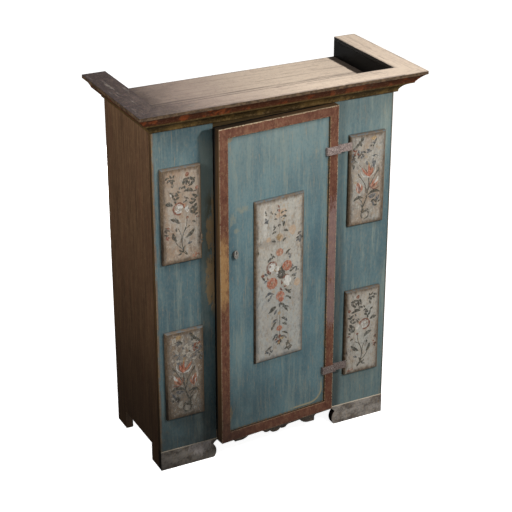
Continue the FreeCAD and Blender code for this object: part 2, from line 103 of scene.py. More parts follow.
# Near-black painted shade, for faces and gaps that the light doesn't reach.
SHADE_BLACK = srgb(9, 8, 7)
RED_BROWN = srgb(96, 58, 44)
RED_DARK = srgb(72, 44, 36)
RED_PALE = srgb(118, 78, 60)
OCHRE = srgb(176, 148, 110)
ARRIS = srgb(168, 149, 121)
CREAM = srgb(178, 177, 169)
CREAM_WARM = srgb(162, 136, 112)
CREAM_PALE = srgb(196, 188, 176)
COLD_WASH = srgb(128, 142, 148)
EDGE_BROWN = srgb(88, 74, 60)
SIDE_BROWN = srgb(120, 92, 66)
SIDE_DARK = srgb(82, 59, 44)
TOP_PALE = srgb(200, 182, 163)
TOP_GREY = srgb(156, 139, 128)
TOP_DARK = srgb(66, 58, 58)
CAP_EDGE = srgb(62, 48, 35)
CAP_EDGE_PALE = srgb(98, 78, 58)
BEVEL = srgb(106, 86, 66)
BEVEL_PALE = srgb(132, 114, 94)
BEVEL_BLUE = srgb(90, 100, 104)
BEVEL_MAUVE = srgb(104, 90, 76)
BEVEL_OCHRE = srgb(112, 86, 58)
COVE_RED = srgb(96, 52, 34)
COVE_ORANGE = srgb(164, 84, 46)
COVE_OLIVE = srgb(74, 58, 32)
BEAD_OCHRE = srgb(114, 90, 50)
PLINTH_GREY = srgb(165, 158, 150)
PLINTH_DARK = srgb(102, 95, 89)
PLINTH_PALE = srgb(206, 198, 194)
PLINTH_LINE = srgb(206, 192, 170)
IRON_PALE = srgb(176, 160, 153)
IRON_DARK = srgb(104, 90, 87)
RUST = srgb(122, 82, 62)
RAW = srgb(112, 84, 56)
RAW_DARK = srgb(70, 50, 34)
RAW_SHADE = srgb(36, 27, 23)
FLOOR_TONES = (srgb(236, 236, 235), srgb(242, 242, 241))
PIGMENTS = {
    "leaf": srgb(80, 80, 73),
    "stem": srgb(88, 80, 72),
    "dusk": srgb(98, 101, 104),
    "rust": srgb(136, 84, 68),
    "coral": srgb(186, 112, 86),
    "salmon": srgb(192, 138, 112),
    "white": srgb(217, 214, 206),
    "pale": srgb(180, 173, 160),
    "ochre": srgb(178, 148, 104),
    "peach": srgb(188, 164, 140),
}

# ---- places of wear, and of painted light ----
# Rubbed or soiled places, and one of painted light, each as its middle and half sizes: (x, z, across, up).
FIELD_RUBS = [(-0.21, 1.286, 0.05, 0.03), (-0.245, 1.19, 0.03, 0.02), (-0.262, 1.25, 0.03, 0.05)]
STILE_RUBS = [(-0.33, 1.17, 0.035, 0.12), (-0.332, 0.93, 0.04, 0.2)]
# Painted light on the left foot, where it lies in shade.
FOOT_PAINTED_LIGHT = [(-0.395, 0.085, 0.085, 0.08)]
PANEL_SOIL = [(-0.08, 1.098, 0.13, 0.03)]
PANEL_CHALK = [(-0.1, 1.2, 0.02, 0.14)]
# Places on a border strip, as (z, across, up), about the strip's middle.
TAN_RUBS = [(1.0, 0.09, 0.23)]
MAUVE_RUBS = [(1.0, 0.1, 0.32), (0.72, 0.1, 0.2)]
# How much of each panel's ground is warm, and how much painted shade darkens all of it.
PANEL_GROUNDS = {
    "door_panel": (0.3, 0.0),
    "panel_lower_right": (0.4, 0.0),
    "panel_upper_right": (0.7, 0.22),
    "panel_upper_left": (1.0, 0.18),
    "panel_lower_left": (0.8, 0.56),
}
# Depths below the top of the crown where the cornice's colours change.
FILLET_DROP = (57 * MM, 60 * MM)
LOWER_DROP = (66 * MM, 70 * MM)
# From right to left, where the door's painted shadow darkens the right front board, and where
# painted shadow darkens the door's top edge and its upper border.
DOOR_SHADE_X = (0.372, 0.335)
DOOR_TOP_X = (0.15, -0.25)


def fill(node, values):
    """Sets inputs of a node by their names."""
    for name, value in values.items():
        node.inputs[name].default_value = value


class Finish:
    """A procedural material, built one step at a time. Values are sockets or numbers."""

    def __init__(self, name, on_door=False, seed=0.0, specular=0.22):
        self.material = bpy.data.materials.new(name)
        self.material.use_nodes = True
        tree = self.material.node_tree
        self.nodes, self.link = tree.nodes, tree.links.new
        self.shader = self.nodes["Principled BSDF"]
        fill(self.shader, {"Specular IOR Level": specular})
        coords = self.node("TexCoord")
        self.place = coords.outputs["Object"]
        if on_door:
            self.place = self.door_shut(self.place)
        self.seed = seed
        self.x, self.y, self.z = self.parts(self.place)
        self.facing_x, self.facing_y, self.facing_z = self.parts(coords.outputs["Normal"])

    def node(self, kind):
        return self.nodes.new("ShaderNode" + kind)

    def parts(self, vector):
        node = self.node("SeparateXYZ")
        self.link(vector, node.inputs[0])
        return node.outputs

    def door_shut(self, vector):
        """Where the point is when the door is shut."""
        node = self.node("Mapping")
        fill(node, {"Rotation": UNSWING.to_euler(), "Location": UNSWING.to_translation()})
        self.link(vector, node.inputs["Vector"])
        return node.outputs[0]

    def put(self, value, socket):
        if isinstance(value, bpy.types.NodeSocket):
            self.link(value, socket)
        else:
            socket.default_value = value

    def math(self, kind, first, second=0.0):
        node = self.node("Math")
        node.operation = kind
        self.put(first, node.inputs[0])
        self.put(second, node.inputs[1])
        return node.outputs[0]

    def plus(self, first, second):
        return self.math("ADD", first, second)

    def less(self, first, second):
        return self.math("SUBTRACT", first, second)

    def both(self, first, second):
        return self.math("MULTIPLY", first, second)

    def size(self, value):
        return self.math("ABSOLUTE", value)

    def noise(self, scale, stretch=(1, 1, 1), detail=3.0, roughness=0.55, shift=0.0):
        """Noise of about 0 to 1. scale is in features per metre, stretch multiplies it."""
        mapping = self.node("Mapping")
        offset = 7.3 * self.seed + 3.1 * shift
        fill(mapping, {"Scale": stretch, "Location": (offset, 1.7 * offset, 0.6 * offset)})
        self.link(self.place, mapping.inputs["Vector"])
        node = self.node("TexNoise")
        fill(node, {"Scale": scale, "Detail": detail, "Roughness": roughness})
        self.link(mapping.outputs[0], node.inputs["Vector"])
        return node.outputs["Fac"]

    def step(self, value, low, high, floor=0.0, ceiling=1.0):
        """Smooth rise from floor to ceiling while value goes from low to high."""
        node = self.node("MapRange")
        node.interpolation_type = "SMOOTHSTEP"
        self.put(value, node.inputs["Value"])
        fill(node, {"From Min": low, "From Max": high, "To Min": floor, "To Max": ceiling})
        return node.outputs[0]

    def mix(self, amount, first, second):
        node = self.node("Mix")
        node.data_type = "RGBA"
        self.put(amount, node.inputs[0])
        self.put(first, node.inputs[6])
        self.put(second, node.inputs[7])
        return node.outputs[2]

    def coats(self, colour, *rows):
        """Lays coats over a colour, each as (value, low, high, amount, coat): the coat
        grows to that amount while value goes from low to high."""
        for value, low, high, amount, coat in rows:
            colour = self.mix(self.step(value, low, high, 0, amount), colour, coat)
        return colour

    def inset(self, box, axes="xz"):
        """Distance from the nearest side of a box, given as its low and high corners."""
        low, high = box
        nearest = None
        for axis in axes:
            i = "xyz".index(axis)
            value = (self.x, self.y, self.z)[i]
            for gap in (self.less(value, low[i]), self.less(high[i], value)):
                nearest = gap if nearest is None else self.math("MINIMUM", nearest, gap)
        return nearest

    def grain(self, along="z", fine=420.0, coarse=70.0):
        """Wood fibres running along an axis, as a number of about 0 to 1."""
        stretch = tuple(0.025 if axis == along else 1.0 for axis in "xyz")
        broad = self.noise(coarse, stretch, 4.0, 0.6)
        fibre = self.noise(fine, stretch, 3.0, 0.7, 5)
        return self.plus(self.both(broad, 0.6), self.both(fibre, 0.4))

    def done(self, colour, roughness, bump=None, height=0.6 * MM, strength=0.5, metallic=0.0):
        self.put(colour, self.shader.inputs["Base Color"])
        self.put(roughness, self.shader.inputs["Roughness"])
        fill(self.shader, {"Metallic": metallic})
        if bump is not None:
            node = self.node("Bump")
            fill(node, {"Distance": height, "Strength": strength})
            self.put(bump, node.inputs["Height"])
            self.link(node.outputs[0], self.shader.inputs["Normal"])
        return self.material


def closed_box(name):
    """Bounds of a node with the door shut, as (low, high)."""
    matrix = UNSWING if name in door_nodes else Matrix.Identity(4)
    points = [matrix @ vertex.co for vertex in nodes[name].data.vertices]
    return tuple(tuple(pick(point[i] for point in points) for i in range(3)) for pick in (min, max))


CROWN_TOP = closed_box("crown_cap_front")[1][2]
# The door's blue field inside its borders, in x and z.
FIELD = (
    (closed_box("border_left")[1][0], 0.0, closed_box("border_bottom")[1][2]),
    (closed_box("border_right")[0][0], 0.0, closed_box("border_top")[0][2]),
)


# ---- wear ----
def edge_wear(f, gap, reach, low=0.4, high=0.68):
    """1 on a worn rim about reach wide, broken up by noise."""
    ragged = f.noise(110, detail=5, roughness=0.7)
    return f.math("LESS_THAN", gap, f.both(f.step(ragged, low, high), reach))


def painted_low_left_shade(f, colour):
    """Painted shade that deepens low down and towards the left, broken into patches."""
    low = f.step(f.z, 0.62, 0.1)
    left = f.step(f.x, 0.15, -0.45, 0.1, 0.8)
    patchy = f.step(f.noise(7, detail=4, shift=11), 0.2, 0.6, 0.6, 1.0)
    return f.mix(f.both(f.both(low, left), patchy), colour, SOOT_AND_SHADE)


def speckle(f, colour, amount):
    """Uneven wear at the scale of a few millimetres to a centimetre."""
    dots = f.noise(95, (1, 1, 0.55), 6, 0.85, 20)
    return f.coats(colour, (dots, 0.5, 0.34, amount, SOOT_AND_SHADE), (dots, 0.5, 0.66, amount, OCHRE))


def shade_round(f, colour, piece):
    """Painted shade in the corner round a piece that stands on this surface."""
    outside = f.both(f.inset(closed_box(piece)), -1.0)
    return f.coats(colour, (outside, 4 * MM, 0, 0.55, SOOT_AND_SHADE))


def spots(f, places, low=0.48, high=0.62):
    """Ragged patches, each given by its middle and half sizes as (x, z, across, up)."""
    rough = f.noise(60, (1, 1, 0.45), 6, 0.8, 6)
    total = None
    for x, z, across, up in places:
        dx = f.math("DIVIDE", f.less(f.x, x), across)
        dz = f.math("DIVIDE", f.less(f.z, z), up)
        away = f.plus(f.both(dx, dx), f.both(dz, dz))
        near = f.step(away, 1.0, 0.0, -0.25, 0.1)
        total = near if total is None else f.math("MAXIMUM", total, near)
    return f.step(f.plus(rough, total), low, high)


def rounded_corner(f, right, low, reach):
    """Distance from a point up and left of a corner, so that equal distances round it."""
    dx = f.math("MAXIMUM", f.less(f.x, right - reach), 0.0)
    dz = f.math("MAXIMUM", f.less(low + reach, f.z), 0.0)
    return f.math("SQRT", f.plus(f.both(dx, dx), f.both(dz, dz)))


def field_wear(f, colour):
    """Rubbed places and a pale curve low right on the door's field, painted shade at its edges."""
    gap = f.inset(FIELD)
    # Painted shade along the edges of the field, under the proud borders.
    colour = f.coats(colour, (gap, 12 * MM, 0, 0.35, SOOT_AND_SHADE))
    colour = shade_round(f, colour, "door_panel")
    left, right, low = FIELD[0][0], FIELD[1][0], FIELD[0][2]
    bend = rounded_corner(f, right, low, 80 * MM)
    by_corner = spots(f, [(right - 60 * MM, low + 30 * MM, 0.16, 0.14)], 0.34, 0.56)
    curve = f.step(f.size(f.less(bend, 66 * MM)), 7 * MM, 2 * MM)
    # Painted shade in the lower right corner, outside the pale curve.
    outside = f.step(bend, 64 * MM, 74 * MM, 0, 0.35)
    colour = f.mix(f.both(by_corner, outside), colour, RIM_DARK)
    colour = f.mix(f.both(by_corner, f.both(curve, 0.9)), colour, PALE_WEAR)
    colour = f.mix(f.both(spots(f, FIELD_RUBS, 0.46, 0.7), 0.45), colour, PALE_WEAR)
    worn = spots(f, [(left, 1.63, 0.05, 0.04), (left, low + 0.1, 0.03, 0.1)])
    rim = edge_wear(f, gap, 6 * MM)
    return f.mix(f.math("MAXIMUM", f.both(worn, 0.6), f.both(rim, 0.8)), colour, BARE_WOOD)


def stile_wear(f, colour, name, box):
    """Rubbed edges of a front board, more so beside the door, with painted light and shade."""
    for panel in ("panel_upper", "panel_lower"):
        colour = shade_round(f, colour, panel + name[len("stile"):])
    from_left = f.less(f.x, box[0][0])
    from_right = f.less(box[1][0], f.x)
    ragged = f.noise(34, (1, 1, 0.4), 6, 0.75, 6)
    if name == "stile_right":
        # Painted shadow of the door along the right board's left edge, deeper lower down.
        door_shadow_paint = f.both(f.step(f.x, *DOOR_SHADE_X), f.step(f.z, 1.6, 0.3, 0.3, 0.6))
        colour = f.mix(door_shadow_paint, colour, SOOT_AND_SHADE)
        colour = f.coats(colour, (from_right, 11 * MM, 7 * MM, 0.6, RIM_DARK))
        colour = f.mix(edge_wear(f, from_right, 4 * MM), colour, BARE_WOOD)
        return f.coats(colour, (from_right, 4 * MM, 3 * MM, 0.6, BARE_WOOD))
    # Painted light: paler blue where the door's shadow falls on the left board.
    door_shadow_paint = f.both(f.step(from_right, 70 * MM, 55 * MM), f.step(f.z, 0.72, 0.95))
    door_shadow_paint = f.both(door_shadow_paint, f.step(f.z, 1.64, 1.56, 0, 0.55))
    colour = f.mix(door_shadow_paint, colour, BLUE_GREY)
    high = f.both(f.step(f.z, 0.72, 0.86), f.step(f.z, 1.42, 1.3))
    stained = f.both(f.step(from_right, 62 * MM, 10 * MM), f.step(ragged, 0.42, 0.56))
    colour = f.mix(f.both(f.both(stained, high), 0.85), colour, OLIVE_WEAR)
    # Rubbed wear beside the door, its ochre made paler as painted light where the door's shadow falls.
    strip = f.both(f.step(from_right, 13 * MM, 8 * MM), f.step(ragged, 0.3, 0.46))
    rubbed = f.math("MAXIMUM", spots(f, STILE_RUBS, 0.44, 0.56), f.both(strip, high))
    colour = f.mix(f.both(rubbed, 0.85), colour, OCHRE)
    outer = f.both(f.step(from_left, 13 * MM, 5 * MM), f.step(ragged, 0.4, 0.55))
    colour = f.mix(f.both(outer, 0.7), colour, SIDE_BROWN)
    return f.mix(f.both(edge_wear(f, from_left, 5 * MM, 0.4, 0.64), 0.55), colour, BARE_WOOD)


# ---- finishes ----
def blue_paint(name, box, on_door):
    """Blue on the front of the front boards and the door, bare wood behind it."""
    f = Finish("blue_" + name, on_door)
    broad = f.noise(24, (1, 1, 0.09), 5, 0.65, 8)
    streak = f.noise(50, (1, 1, 0.05), 5, 0.7)
    thin = f.noise(110, (1, 1, 0.07), 5, 0.75, 2)
    cloud = f.noise(6, (1, 1, 0.5), 4, 0.6, 4)
    pale, washed = {"stile_left": (0.1, 0.4), "stile_right": (0.3, 0.75)}.get(name, (0.4, 0.4))
    colour = f.mix(f.step(cloud, 0.35, 0.68), BLUE, BLUE_DEEP)
    colour = f.coats(colour, (f.z, 1.1, 1.7, pale, BLUE_GREY))
    if name == "stile_left":
        # Painted shade: the left board darker, more so lower down.
        colour = f.mix(f.step(f.z, 1.5, 1.0, 0.1, 0.19), colour, SOOT_AND_SHADE)
    if name == "stile_right":
        colour = f.mix(f.step(f.z, 0.7, 0.2, 0.1, 0.3), colour, BLUE_GREY)
    colour = f.coats(
        colour,
        (broad, 0.5, 0.66, washed, BLUE_GREY),
        (broad, 0.48, 0.33, 0.5, BLUE_DEEP),
        (streak, 0.5, 0.75, 0.4, BLUE_GREY),
        (thin, 0.54, 0.75, 0.5, OCHRE),
        (thin, 0.46, 0.28, 0.4, BLUE_DEEP),
    )
    colour = speckle(f, colour, 0.2)
    colour = field_wear(f, colour) if on_door else stile_wear(f, colour, name, box)
    fibre = f.grain()
    side = f.step(f.size(f.facing_y), 0.6, 0.4)
    edge = f.mix(f.step(fibre, 0.4, 0.6), DARK_WOOD, DOOR_SIDE)
    if on_door:
        # Painted shadow on the door's top edge, dark at the left.
        shaded = f.mix(f.step(f.x, *DOOR_TOP_X, 0.1, 0.85), DOOR_TOP, SHADE_BLACK)
        edge = f.mix(f.step(f.facing_z, 0.4, 0.6), edge, shaded)
    colour = f.mix(side, colour, edge)
    if on_door:
        # Painted shade: a black strip along the rear of the door's edges, for the shade in the gap behind
        # them.
        rear = f.step(f.y, box[1][1] - 13 * MM, box[1][1] - 10 * MM)
        colour = f.mix(f.both(rear, side), colour, SHADE_BLACK)
    unpainted = f.mix(f.step(fibre, 0.35, 0.65), RAW_DARK, RAW)
    colour = f.mix(f.step(f.facing_y, 0.5, 0.8), colour, unpainted)
    rough = f.step(fibre, 0.3, 0.7, 0.75, 0.6)
    # Painted shade low down and towards the left goes over this finish.
    return f.done(painted_low_left_shade(f, colour), rough, fibre, 0.5 * MM, 0.35)


def border_paint(name, box, seed):
    """Red-brown on a border strip of the door, with its two long edges rubbed."""
    f = Finish("red_" + name, True, seed)
    side = name[len("border_"):]
    upright = side in ("left", "right")
    cloud = f.noise(26, (1, 1, 0.6), 5, 0.65)
    speck = f.noise(100, (1, 1, 0.6), 4, 0.75, 2)
    colour = f.mix(f.step(cloud, 0.38, 0.68), RED_BROWN, RED_PALE)
    colour = f.coats(colour, (speck, 0.5, 0.68, 0.6, RED_DARK))
    across, facing, i = (f.x, f.facing_x, 0) if upright else (f.z, f.facing_z, 2)
    outer_gap, inner_gap = f.less(across, box[0][i]), f.less(box[1][i], across)
    inward = 1
    if side in ("right", "top"):
        outer_gap, inner_gap, inward = inner_gap, outer_gap, -1
    middle = (box[0][0] + box[1][0]) / 2
    if side == "left":
        patch = spots(f, [(middle, *rub) for rub in TAN_RUBS], 0.28, 0.6)
        ragged = f.plus(inner_gap, f.step(cloud, 0.35, 0.65, -14 * MM, 14 * MM))
        patch = f.both(patch, f.step(ragged, 2 * MM, 16 * MM, 0.35, 1))
        colour = f.mix(f.both(patch, 0.95), colour, TAN)
    if side == "right":
        patch = spots(f, [(middle, *rub) for rub in MAUVE_RUBS], 0.36, 0.56)
        colour = f.mix(f.both(patch, 0.75), colour, MAUVE)
    colour = speckle(f, colour, 0.25)
    rubbed = f.both(edge_wear(f, inner_gap, 5 * MM), 0.3 if side == "bottom" else 0.7)
    colour = f.mix(rubbed, colour, OCHRE)
    rubbed = edge_wear(f, outer_gap, 5 * MM, 0.36, 0.62)
    colour = f.mix(rubbed if side in ("top", "right") else f.both(rubbed, 0.5), colour, ARRIS)
    toward = f.both(facing, inward)
    # Painted shade on the strip's inner face, which stands over the field.
    colour = f.coats(colour, (toward, 0.8, 0.95, 0.8, SOOT_AND_SHADE))
    outer_face = DOOR_SIDE
    if side == "top":
        # Painted shadow on the top strip's upper face, dark at the left.
        outer_face = f.mix(f.step(f.x, *DOOR_TOP_X, 0.1, 0.7), DOOR_TOP, SHADE_BLACK)
    colour = f.coats(colour, (toward, -0.8, -0.95, 1, outer_face))
    fibre = f.grain("z" if upright else "x")
    # Painted shade low down and towards the left goes over this finish.
    return f.done(painted_low_left_shade(f, colour), 0.65, fibre, 0.5 * MM, 0.4)


def bevel_paint(f, name, box, smear):
    """The narrow slopes round a panel, each side weathered in its own way, the left ones in painted shade.
    """
    patchy = f.step(f.noise(60, detail=4, roughness=0.7, shift=23), 0.42, 0.62)
    bevel = f.mix(patchy, BEVEL, BEVEL_PALE)
    patchy = f.step(f.noise(45, detail=4, roughness=0.7, shift=29), 0.42, 0.56)
    weathered = f.mix(patchy, BEVEL_BLUE, BEVEL_MAUVE)
    bevel = f.coats(
        bevel, (f.facing_z, 0.3, 0.6, 0.9, weathered), (f.facing_x, 0.3, 0.6, 0.8, BEVEL_OCHRE)
    )
    middle = (box[0][2] + box[1][2]) / 2
    foot = 0.4 if "right" in name else 0.9
    # Painted shade on the left-facing slopes, deeper towards the bottom.
    painted_left_shade = f.step(f.z, middle + 60 * MM, box[0][2] + 60 * MM, 0.25, foot)
    painted_left_shade = f.both(f.step(f.facing_x, -0.3, -0.6), painted_left_shade)
    return f.mix(f.both(painted_left_shade, f.step(smear, 0.3, 0.56, 0.4, 1)), bevel, SOOT_AND_SHADE)


def panel_paint(name, box, on_door, seed, pigment=None):
    """Cream ground, browned round its rim. With a pigment, the same ground under a thin
    coat of that colour, so that the ground shows where the coat is worn through."""
    f = Finish("cream_" + name if pigment is None else name + "_" + pigment, on_door, seed)
    cloud = f.noise(12, (1, 1, 0.5), 6, 0.7)
    smear = f.noise(46, (1, 1, 0.3), 6, 0.75, 2)
    blotch = f.noise(75, (1, 1, 0.8), 5, 0.8, 31)
    stain = f.noise(52, (1, 1, 0.7), 5, 0.75, 37)
    warmth, painted_panel_shade = PANEL_GROUNDS[name]
    colour = f.mix(f.step(cloud, 0.35, 0.65, 0, warmth), CREAM, CREAM_WARM)
    # Painted shade darkening the whole ground of some panels.
    colour = f.mix(painted_panel_shade, colour, SOOT_AND_SHADE) if painted_panel_shade else colour
    colour = f.coats(
        colour,
        (smear, 0.5, 0.72, 0.7, EDGE_BROWN),
        (smear, 0.45, 0.28, 0.5, PIGMENTS["white"]),
        (stain, 0.54, 0.68, 0.45, OCHRE),
        (stain, 0.46, 0.34, 0.4, PIGMENTS["dusk"]),
        (blotch, 0.52, 0.62, 0.5, CREAM_PALE),
        (blotch, 0.47, 0.37, 0.45, CREAM_WARM),
    )
    if name == "panel_upper_left":
        colour = f.mix(f.step(f.z, 1.2, 1.36, 0.1, 0.4), colour, CREAM_WARM)
    gap = f.inset(box)
    rim = f.plus(gap, f.step(smear, 0.3, 0.7, -9 * MM, 9 * MM))
    colour = f.coats(colour, (rim, 27 * MM, 4 * MM, 0.9, EDGE_BROWN))
    if name == "door_panel":
        cold = f.both(f.step(f.z, 0.98, 0.78, 0, 0.34), f.step(smear, 0.62, 0.42, 0.3, 1))
        colour = f.mix(cold, colour, COLD_WASH)
        colour = f.mix(f.both(spots(f, PANEL_SOIL, 0.36, 0.7), 0.35), colour, EDGE_BROWN)
        chalk = f.both(spots(f, PANEL_CHALK, 0.42, 0.62), 0.4)
        colour = f.mix(chalk, colour, PIGMENTS["white"])
    if pigment:
        brushed = f.noise(130, (1, 1, 0.5), 4, 0.7, 13)
        soot = 0.1 if pigment == "peach" else 0.15 if pigment == "white" and on_door else 0.4
        shade = f.mix(f.step(brushed, 0.4, 0.65, soot, 0), PIGMENTS[pigment], SOOT_AND_SHADE)
        shade = f.coats(shade, (brushed, 0.52, 0.7, 0.3, PIGMENTS["white"]))
        worn = f.noise(100, (1, 1, 0.7), 5, 0.7, 17)
        colour = f.mix(f.step(worn, 0.68, 0.52, 0.2, 0.95), colour, shade)
    colour = speckle(f, colour, 0.3)
    colour = f.coats(colour, (gap, 6 * MM, 4.5 * MM, 1, bevel_paint(f, name, box, smear)))
    # Painted shade low down and towards the left goes over this finish.
    return f.done(painted_low_left_shade(f, colour), 0.7, f.grain(), 0.5 * MM, 0.4)


def side_wood(name, seed):
    f = Finish("brown_" + name, False, seed)
    fibre = f.grain(coarse=90)
    cloud = f.noise(7, (1, 1, 0.5), 5, 0.65, 3)
    streak = f.noise(38, (1, 1, 0.12), 5, 0.7, 7)
    colour = f.mix(f.step(fibre, 0.36, 0.64), SIDE_DARK, SIDE_BROWN)
    colour = f.coats(
        colour,
        (cloud, 0.4, 0.7, 0.4, SIDE_DARK),
        (streak, 0.5, 0.66, 0.3, RED_BROWN),
        (streak, 0.46, 0.34, 0.35, DARK_WOOD),
    )
    # Painted shade: darker towards the bottom.
    colour = f.coats(speckle(f, colour, 0.16), (f.z, 1.0, 0.1, 0.62, SOOT_AND_SHADE))
    return f.done(colour, 0.6, fibre, 0.6 * MM, 0.4)


def top_wood(name, along, box, seed):
    """Bare wood, in painted light: dark towards the left, pale towards the right and the front."""
    f = Finish("top_" + name, False, seed)
    fibre = f.grain(along, fine=260, coarse=75)
    stretch = (0.14, 1, 1) if along == "x" else (1, 0.14, 1)
    figure = f.noise(44, stretch, 6, 0.8, 3)
    mottle = f.noise(70, (0.6, 0.6, 1), 5, 0.75, 9)
    cloud = f.noise(9, detail=5, roughness=0.7, shift=5)
    uneven = f.plus(f.step(cloud, 0.3, 0.7, -0.04, 0.04), f.step(figure, 0.3, 0.7, -0.06, 0.06))
    # Painted light: the wood grows paler towards the right and the front.
    place = f.plus(f.x, f.less(uneven, f.both(f.y, 0.1)))
    colour = f.mix(f.step(place, -0.68, -0.24), TOP_DARK, TOP_GREY)
    colour = f.coats(
        colour,
        (place, -0.4, 0.25, 1, TOP_PALE),
        (fibre, 0.5, 0.32, 0.45, TOP_DARK),
        (figure, 0.54, 0.68, 0.6, TOP_DARK),
        (figure, 0.44, 0.32, 0.3, CREAM_PALE),
        (mottle, 0.5, 0.66, 0.25, MAUVE),
    )
    colour = speckle(f, colour, 0.24)
    rim = f.both(f.step(f.inset(box, "xy"), 14 * MM, 0), f.step(cloud, 0.35, 0.6, 0.1, 0.6))
    colour = f.mix(rim, colour, TOP_DARK)
    if name.startswith("crown_cap"):
        edge = f.mix(f.step(mottle, 0.42, 0.6), CAP_EDGE, CAP_EDGE_PALE)
        colour = f.mix(f.step(f.z, CROWN_TOP - 3 * MM, CROWN_TOP - 1 * MM), edge, colour)
        if name == "crown_cap_right":
            # Painted shade: the right return's inner face black.
            colour = f.coats(colour, (f.facing_x, -0.7, -0.9, 1, SHADE_BLACK))
        if name == "crown_cap_front":
            inner = f.less(box[1][1], f.y)
            colour = f.coats(colour, (inner, 6 * MM, 3 * MM, 0.5, TOP_DARK))
    else:
        front = f.less(f.y, closed_box("crown_cap_front")[1][1])
        right = f.less(closed_box("crown_cap_right")[0][0], f.x)
        right = f.plus(right, f.step(figure, 0.3, 0.7, -3 * MM, 3 * MM))
        # Darker next to the front cap, and a painted shadow of the right return in a band along it.
        colour = f.coats(
            colour, (front, 16 * MM, 2 * MM, 0.6, SOOT_AND_SHADE), (right, 41 * MM, 35 * MM, 0.9, RAW_SHADE)
        )
    return f.done(colour, 0.6, fibre, 0.5 * MM, 0.4)


def cornice_paint(name, box, seed):
    """Red and orange upper hollow over an olive lower one, a dark inner face, black as painted shade on the
    returns.
    """
    f = Finish("cornice_" + name, False, seed, 0.1)
    along = "x" if "front" in name else "y"
    cloud = f.noise(17, (0.9, 0.5, 0.5) if along == "x" else (0.5, 0.9, 0.5), 4, 0.7)
    upper = f.mix(f.step(cloud, 0.48, 0.56), COVE_RED, COVE_ORANGE)
    upper = f.coats(upper, (f.x, -0.4, 0.1, 0.3, COVE_RED))
    lower = f.mix(f.step(cloud, 0.46, 0.6), COVE_OLIVE, BEAD_OCHRE)
    fillet = f.mix(0.5, BEAD_OCHRE, COVE_OLIVE)
    drop = f.less(CROWN_TOP, f.z)
    colour = f.coats(upper, (drop, *FILLET_DROP, 1, fillet), (drop, *LOWER_DROP, 1, lower))
    fibre = f.grain(along)
    colour = f.coats(colour, (fibre, 0.52, 0.35, 0.5, DARK_WOOD))
    colour = speckle(f, colour, 0.35)
    if name == "crown_moulding_left":
        colour = f.mix(0.5, colour, DARK_WOOD)
    if name == "crown_moulding_front":
        away = f.size(f.less(f.y, box[1][1]))
        colour = f.coats(colour, (away, 22 * MM, 18 * MM, 1, RAW_DARK))
    else:
        away = f.size(f.less(f.x, box[1 if name == "crown_moulding_left" else 0][0]))
        # Painted shade: the returns' inner faces black.
        colour = f.coats(colour, (away, 2 * MM, 1 * MM, 1, SHADE_BLACK))
    return f.done(colour, 0.6, fibre, 0.5 * MM, 0.4)


def plinth_paint(name, box, seed):
    """Grey feet with a pale line under the front boards, a browner apron, and painted light and shade."""
    f = Finish("grey_" + name, False, seed)
    cloud = f.noise(22, (0.7, 1, 1), 6, 0.75)
    fibre = f.grain("x")
    grey = f.mix(f.step(cloud, 0.4, 0.62), PLINTH_GREY, PLINTH_DARK)
    grey = f.coats(grey, (fibre, 0.5, 0.35, 0.4, PLINTH_DARK))
    # The apron is browner; its grey share is painted light where the door shades it.
    colour = f.mix(f.step(f.size(f.x), 0.29, 0.34, 0.35, 1.0), DARK_WOOD, grey)
    # Painted light: a paler place on the left foot, where it lies in shade.
    colour = f.mix(spots(f, FOOT_PAINTED_LIGHT, 0.38, 0.6), colour, PLINTH_PALE)
    colour = f.coats(
        speckle(f, colour, 0.45),
        (f.z, box[1][2] - 5 * MM, box[1][2] - 2 * MM, 0.75, PLINTH_LINE),
        # Painted shade: the board's edge faces dark.
        (f.size(f.facing_y), 0.6, 0.4, 1, SOOT_AND_SHADE),
    )
    # Painted shade low down and towards the left goes over this finish.
    return f.done(painted_low_left_shade(f, colour), 0.7, fibre, 0.6 * MM, 0.5)


def iron(name, on_door, seed):
    f = Finish("iron_" + name, on_door, seed)
    mottle = f.noise(210, detail=5, roughness=0.75)
    pit = f.noise(420, detail=3, roughness=0.6, shift=3)
    colour = f.mix(f.step(mottle, 0.38, 0.62), IRON_DARK, IRON_PALE)
    colour = f.coats(colour, (pit, 0.55, 0.7, 0.6, RUST), (f.z, 1.0, 0.45, 0.35, SOOT_AND_SHADE))
    if name == "latch_knob":
        colour = f.mix(f.step(mottle, 0.4, 0.6, 0.2, 0.7), colour, BLUE_GREY)
    if name.startswith("latch_"):
        # Painted shade on the sides of the latch's pieces.
        colour = f.coats(colour, (f.size(f.facing_y), 0.6, 0.3, 0.5, SOOT_AND_SHADE))
    return f.done(colour, 0.55, mottle, 0.5 * MM, 0.6, 0.25)


def raw_wood(name, on_door, box, seed):
    """Unpainted wood, each board a little different and dark along its joints."""
    f = Finish("raw_" + name, on_door, seed)
    spans = [high - low for low, high in zip(*box)]
    fibre = f.grain("xyz"[spans.index(max(spans))], coarse=50)
    colour = f.mix(f.step(fibre, 0.35, 0.65), RAW_DARK, RAW)
    colour = f.mix(0.3 * (0.618 * seed % 1.0), colour, RAW_DARK)
    thin = "xyz"[spans.index(min(spans))]
    colour = f.coats(colour, (f.inset(box, "xyz".replace(thin, "")), 4 * MM, 1 * MM, 0.6, SOOT_AND_SHADE))
    if name == "top_rail":
        colour = f.coats(colour, (f.facing_y, -0.5, -0.8, 1, COVE_OLIVE))
    return f.done(colour, 0.75, fibre, 0.6 * MM, 0.5)


